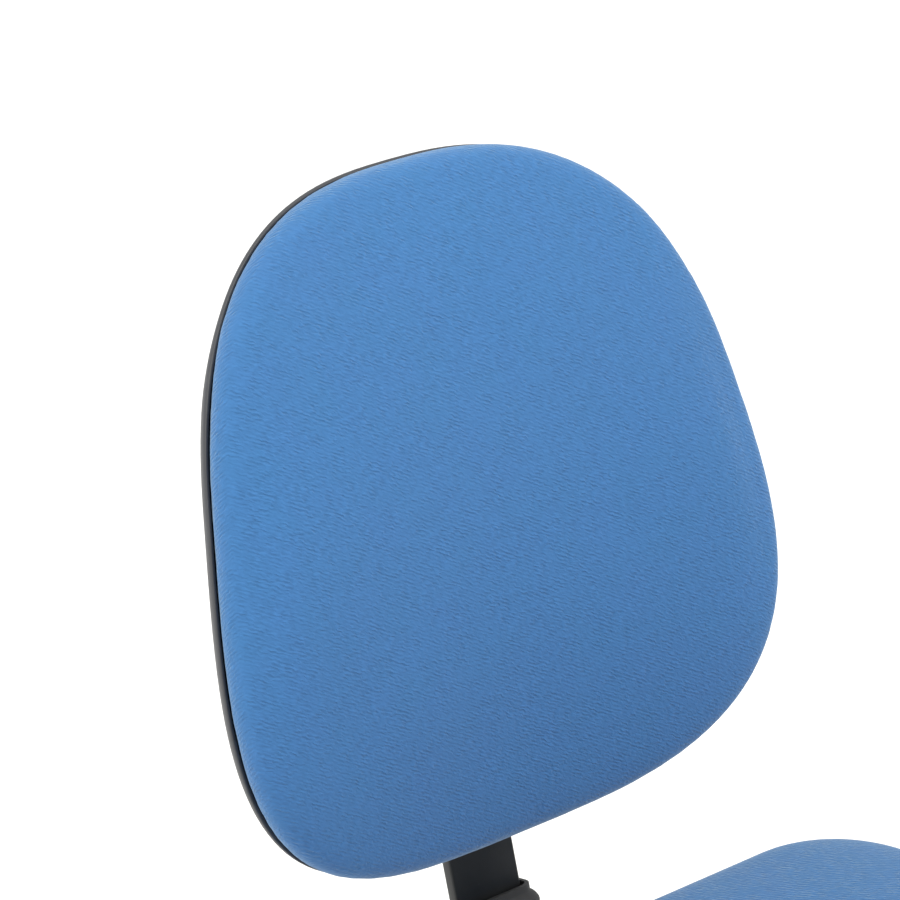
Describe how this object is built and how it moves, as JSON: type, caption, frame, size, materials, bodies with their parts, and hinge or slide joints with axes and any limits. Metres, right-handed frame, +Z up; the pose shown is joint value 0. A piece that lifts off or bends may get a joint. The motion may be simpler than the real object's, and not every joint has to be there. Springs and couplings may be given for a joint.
{
  "type": "swivel office chair",
  "caption": "Armless operator chair: padded seat and reclining height-adjustable back on a gas lift, swivelling over a star base with twin-wheel castors.",
  "frame": {"origin": "on the floor, at the middle of the footprint of the whole chair; the swivel axis is 34 mm in front of it, towards -Y", "axes": "+Z up; +X to the right as seen from in front of the chair; the sitter faces -Y and the backrest is at +Y"},
  "size_m": [0.649, 0.7379, 0.9028],
  "materials": {
    "base_nylon": "fine-grained moulded black nylon",
    "castor_nylon": "satin moulded black nylon",
    "wheel_nylon": "satin black nylon wheels, scuffed tread",
    "plated_steel": "zinc-plated steel",
    "bearing_plastic": "natural acetal",
    "lift_chrome": "hard chrome, polished",
    "black_steel": "black powder coat, satin",
    "grip_plastic": "satin moulded black plastic",
    "shell_plastic": "fine-grained dark grey moulded plastic",
    "plywood": "bare beech plywood",
    "gaiter_rubber": "matt black rubber",
    "seat_fabric": "blue crepe-twill wool-look upholstery",
    "back_fabric": "blue crepe-twill wool-look upholstery"
  },
  "bodies": {
    "base": {"star_base": "base_nylon", "lift_outer_tube": "black_steel", "lift_guide_bush": "bearing_plastic", "lift_thrust_bearing": "plated_steel", "column_cover_lower": "base_nylon"},
    "piston": {"piston_rod": "lift_chrome", "lift_retaining_clip": "plated_steel"},
    "cover_middle": {"column_cover_middle": "base_nylon"},
    "seat_frame": {"lift_cylinder": "lift_chrome", "column_cover_upper": "base_nylon", "mechanism_housing": "black_steel", "recline_pivot_pin": "plated_steel", "recline_spring_left": "plated_steel", "recline_spring_right": "plated_steel", "seat_bolt_1": "plated_steel", "seat_bolt_2": "plated_steel", "seat_bolt_3": "plated_steel", "seat_bolt_4": "plated_steel", "seat_shell": "shell_plastic", "seat_board": "plywood", "seat_pad": "seat_fabric"},
    "valve_button": {"lift_valve_button": "plated_steel"},
    "height_lever": {"height_lever_rod": "black_steel", "height_lever_grip": "grip_plastic"},
    "lock_lever": {"lock_lever_rod": "black_steel", "lock_lever_grip": "grip_plastic"},
    "spine": {"spine_bar": "black_steel", "spine_yoke": "black_steel", "spine_gaiter": "gaiter_rubber"},
    "backrest": {"back_shell": "shell_plastic", "back_board": "plywood", "back_pad": "back_fabric", "back_slide_bracket": "black_steel"},
    "back_knob": {"back_height_knob": "grip_plastic"},
    "castor_1": {"castor_1_hood": "castor_nylon", "castor_1_stem": "plated_steel", "castor_1_axle": "plated_steel"},
    "castor_1_left": {"castor_1_wheel_left": "wheel_nylon"},
    "castor_1_right": {"castor_1_wheel_right": "wheel_nylon"},
    "castor_2": {"castor_2_hood": "castor_nylon", "castor_2_stem": "plated_steel", "castor_2_axle": "plated_steel"},
    "castor_2_left": {"castor_2_wheel_left": "wheel_nylon"},
    "castor_2_right": {"castor_2_wheel_right": "wheel_nylon"},
    "castor_3": {"castor_3_hood": "castor_nylon", "castor_3_stem": "plated_steel", "castor_3_axle": "plated_steel"},
    "castor_3_left": {"castor_3_wheel_left": "wheel_nylon"},
    "castor_3_right": {"castor_3_wheel_right": "wheel_nylon"},
    "castor_4": {"castor_4_hood": "castor_nylon", "castor_4_stem": "plated_steel", "castor_4_axle": "plated_steel"},
    "castor_4_left": {"castor_4_wheel_left": "wheel_nylon"},
    "castor_4_right": {"castor_4_wheel_right": "wheel_nylon"},
    "castor_5": {"castor_5_hood": "castor_nylon", "castor_5_stem": "plated_steel", "castor_5_axle": "plated_steel"},
    "castor_5_left": {"castor_5_wheel_left": "wheel_nylon"},
    "castor_5_right": {"castor_5_wheel_right": "wheel_nylon"}
  },
  "joints": [
    {"name": "seat_swivel", "type": "hinge", "parent": "base", "child": "piston", "pos_m": [0, -0.034, 0.066], "axis": [0, 0, 1], "continuous": true},
    {"name": "seat_height", "type": "slide", "parent": "piston", "child": "seat_frame", "axis": [0, 0, 1], "range_m": [0, 0.125]},
    {"name": "cover_middle_slide", "type": "slide", "parent": "piston", "child": "cover_middle", "axis": [0, 0, 1], "range_m": [0, 0.063]},
    {"name": "valve_press", "type": "slide", "parent": "seat_frame", "child": "valve_button", "axis": [0, 0, 1], "range_m": [-0.004, 0], "stiffness_N_per_m": 500, "springref_m": 0.002},
    {"name": "height_lever_lift", "type": "hinge", "parent": "seat_frame", "child": "height_lever", "pos_m": [-0.0635, -0.034, 0.3548], "axis": [0, 1, 0], "range_deg": [0, 3.5], "stiffness_Nm_per_rad": 2, "springref_deg": -2.86},
    {"name": "lock_lever_turn", "type": "hinge", "parent": "seat_frame", "child": "lock_lever", "pos_m": [-0.065, 0.058, 0.34], "axis": [-1, 0, 0], "range_deg": [0, 30]},
    {"name": "back_recline", "type": "hinge", "parent": "seat_frame", "child": "spine", "pos_m": [0, 0.028, 0.336], "axis": [-1, 0, 0], "range_deg": [0, 14], "stiffness_Nm_per_rad": 80, "springref_deg": -17.19},
    {"name": "back_height", "type": "slide", "parent": "spine", "child": "backrest", "axis": [0, 0.3007, 0.9537], "range_m": [-0.02, 0.05]},
    {"name": "back_knob_turn", "type": "hinge", "parent": "backrest", "child": "back_knob", "pos_m": [0, 0.31404, 0.58287], "axis": [0, 0.9537, -0.3007], "range_deg": [0, 360]},
    {"name": "castor_1_swivel", "type": "hinge", "parent": "base", "child": "castor_1", "pos_m": [0, -0.319, 0.07], "axis": [0, 0, 1], "continuous": true},
    {"name": "castor_1_left_spin", "type": "hinge", "parent": "castor_1", "child": "castor_1_left", "pos_m": [0, -0.339, 0.025], "axis": [1, 0, 0], "continuous": true},
    {"name": "castor_1_right_spin", "type": "hinge", "parent": "castor_1", "child": "castor_1_right", "pos_m": [0, -0.339, 0.025], "axis": [1, 0, 0], "continuous": true},
    {"name": "castor_2_swivel", "type": "hinge", "parent": "base", "child": "castor_2", "pos_m": [0.27105, -0.12207, 0.07], "axis": [0, 0, 1], "continuous": true},
    {"name": "castor_2_left_spin", "type": "hinge", "parent": "castor_2", "child": "castor_2_left", "pos_m": [0.28743, -0.13354, 0.025], "axis": [0.5736, 0.8192, 0], "continuous": true},
    {"name": "castor_2_right_spin", "type": "hinge", "parent": "castor_2", "child": "castor_2_right", "pos_m": [0.28743, -0.13354, 0.025], "axis": [0.5736, 0.8192, 0], "continuous": true},
    {"name": "castor_3_swivel", "type": "hinge", "parent": "base", "child": "castor_3", "pos_m": [0.16752, 0.19657, 0.07], "axis": [0, 0, 1], "continuous": true},
    {"name": "castor_3_left_spin", "type": "hinge", "parent": "castor_3", "child": "castor_3_left", "pos_m": [0.17752, 0.21389, 0.025], "axis": [-0.866, 0.5, 0], "continuous": true},
    {"name": "castor_3_right_spin", "type": "hinge", "parent": "castor_3", "child": "castor_3_right", "pos_m": [0.17752, 0.21389, 0.025], "axis": [-0.866, 0.5, 0], "continuous": true},
    {"name": "castor_4_swivel", "type": "hinge", "parent": "base", "child": "castor_4", "pos_m": [-0.16752, 0.19657, 0.07], "axis": [0, 0, 1], "continuous": true},
    {"name": "castor_4_left_spin", "type": "hinge", "parent": "castor_4", "child": "castor_4_left", "pos_m": [-0.17752, 0.21389, 0.025], "axis": [-0.866, -0.5, 0], "continuous": true},
    {"name": "castor_4_right_spin", "type": "hinge", "parent": "castor_4", "child": "castor_4_right", "pos_m": [-0.17752, 0.21389, 0.025], "axis": [-0.866, -0.5, 0], "continuous": true},
    {"name": "castor_5_swivel", "type": "hinge", "parent": "base", "child": "castor_5", "pos_m": [-0.27105, -0.12207, 0.07], "axis": [0, 0, 1], "continuous": true},
    {"name": "castor_5_left_spin", "type": "hinge", "parent": "castor_5", "child": "castor_5_left", "pos_m": [-0.28743, -0.13354, 0.025], "axis": [0.5736, -0.8192, 0], "continuous": true},
    {"name": "castor_5_right_spin", "type": "hinge", "parent": "castor_5", "child": "castor_5_right", "pos_m": [-0.28743, -0.13354, 0.025], "axis": [0.5736, -0.8192, 0], "continuous": true}
  ],
  "couplings": [
    {"joint": "cover_middle_slide", "follows": "seat_height", "ratio": 0.5},
    {"joint": "valve_press", "follows": "height_lever_lift", "m_per_rad": -0.0635}
  ]
}
